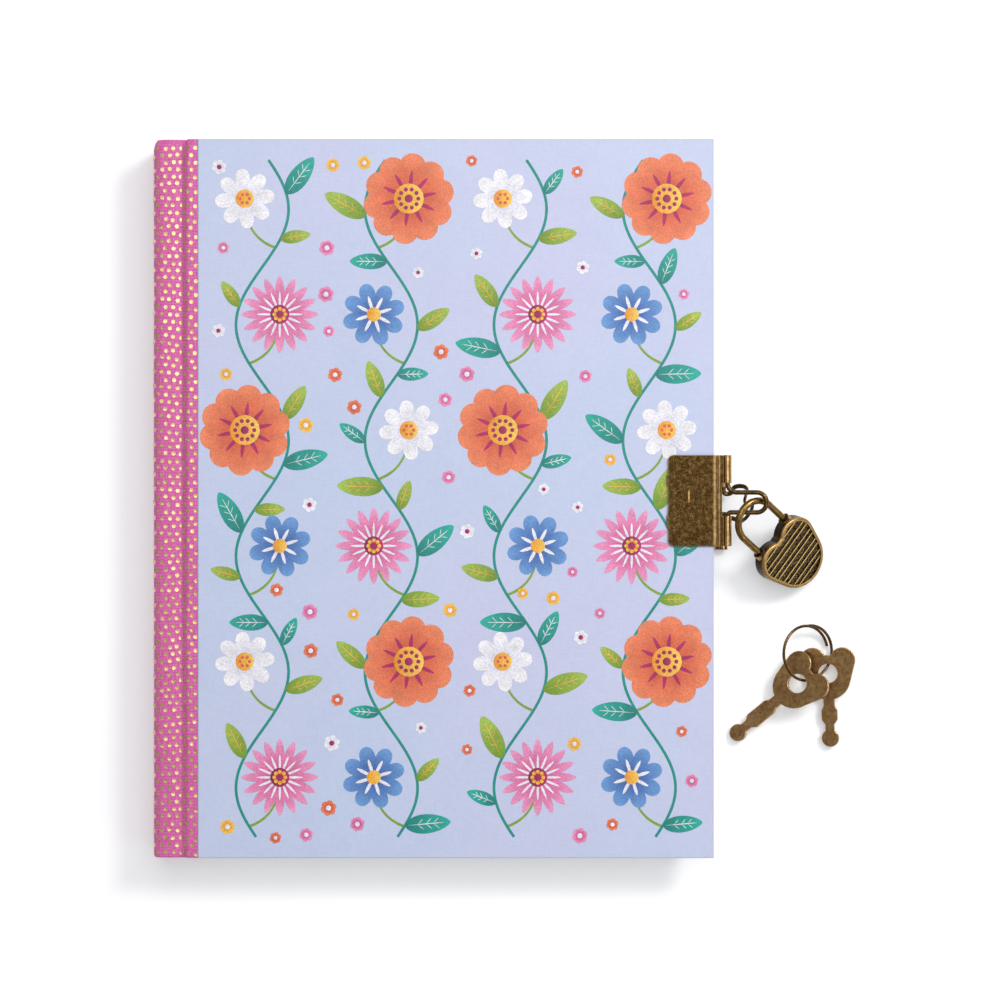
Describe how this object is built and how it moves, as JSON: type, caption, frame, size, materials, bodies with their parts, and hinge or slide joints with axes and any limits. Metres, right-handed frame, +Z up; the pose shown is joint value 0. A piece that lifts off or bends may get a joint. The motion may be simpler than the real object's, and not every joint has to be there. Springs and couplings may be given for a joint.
{
  "type": "diary with lock",
  "caption": "Hardbound diary with a foil-dotted cloth spine and a printed cover, a brass fore-edge clasp with wire loops, a heart padlock and keys on a ring.",
  "frame": {"origin": "centre of the closed diary's plan, on the back cover's outer face", "axes": "+Z up out of the front cover, +Y towards the head, +X towards the fore-edge"},
  "size_m": [0.2015, 0.205, 0.0191],
  "materials": {
    "cover_paper": "printed lavender paper, linen grain",
    "cloth": "pink book cloth with gold foil dots",
    "board": "grey binder's board",
    "endpaper": "plain endpaper",
    "page": "uncoated text paper",
    "gauze": "open weave",
    "band": "woven band",
    "antique_brass": "antique brass, rubbed high spots",
    "spring_steel": "plain strip"
  },
  "bodies": {
    "back_cover": {"back_board": "board", "back_cover_paper": "cover_paper", "back_joint_cloth": "cloth", "back_pastedown": "endpaper", "back_clasp_plate": "antique_brass"},
    "book_block": {"spine_board": "board", "spine_cloth": "cloth", "spine_lining": "gauze", "head_band": "band", "tail_band": "band", "front_flyleaf": "endpaper", "back_flyleaf": "endpaper", "section_1": "page", "section_2": "page", "section_3": "page", "section_4": "page", "section_5": "page", "section_6": "page"},
    "front_cover": {"front_board": "board", "front_cover_paper": "cover_paper", "front_joint_cloth": "cloth", "front_pastedown": "endpaper", "front_clasp_plate": "antique_brass"},
    "front_loop": {"front_loop": "antique_brass"},
    "back_loop": {"back_loop": "antique_brass"},
    "shackle": {"shackle": "antique_brass"},
    "lock_body": {"lock_front_shell": "antique_brass", "lock_back_shell": "antique_brass", "latch_spring": "spring_steel"},
    "key_ring": {"key_ring": "antique_brass"},
    "key_left": {"key_left": "antique_brass"},
    "key_right": {"key_right": "antique_brass"}
  },
  "joints": [
    {"name": "back_cover_hinge", "type": "hinge", "parent": "back_cover", "child": "book_block", "pos_m": [-0.0713, 0, 0.0002], "axis": [0, -1, 0], "range_deg": [0, 180]},
    {"name": "front_cover_hinge", "type": "hinge", "parent": "book_block", "child": "front_cover", "pos_m": [-0.0713, 0, 0.0168], "axis": [0, -1, 0], "range_deg": [0, 180]},
    {"name": "front_loop_swing", "type": "hinge", "parent": "front_cover", "child": "front_loop", "pos_m": [0.0838, 0, 0.0154], "axis": [0, -1, 0], "range_deg": [0, 50]},
    {"name": "back_loop_swing", "type": "hinge", "parent": "back_cover", "child": "back_loop", "pos_m": [0.0838, 0, 0.0016], "axis": [0, 1, 0], "range_deg": [0, 50]},
    {"name": "padlock_swing", "type": "hinge", "parent": "front_loop", "child": "shackle", "pos_m": [0.09193, -0.00112, 0.01695], "axis": [0, 0, 1], "range_deg": [-10, 3]},
    {"name": "padlock_release", "type": "slide", "parent": "shackle", "child": "lock_body", "axis": [0.6593, -0.5772, -0.4818], "range_m": [0, 0.0045]},
    {"name": "keys_lift_off", "type": "slide", "parent": "back_cover", "child": "key_ring", "axis": [0, 0, 1], "range_m": [0, 0.06]},
    {"name": "key_left_swing", "type": "hinge", "parent": "key_ring", "child": "key_left", "pos_m": [0.10586, -0.05248, 0.00622], "axis": [-0.8573, 0.2419, 0.4544], "range_deg": [0, 27]},
    {"name": "key_right_swing", "type": "hinge", "parent": "key_ring", "child": "key_right", "pos_m": [0.11309, -0.04997, 0.00239], "axis": [-0.6501, -0.6795, 0.3402], "range_deg": [-20, 8]}
  ]
}
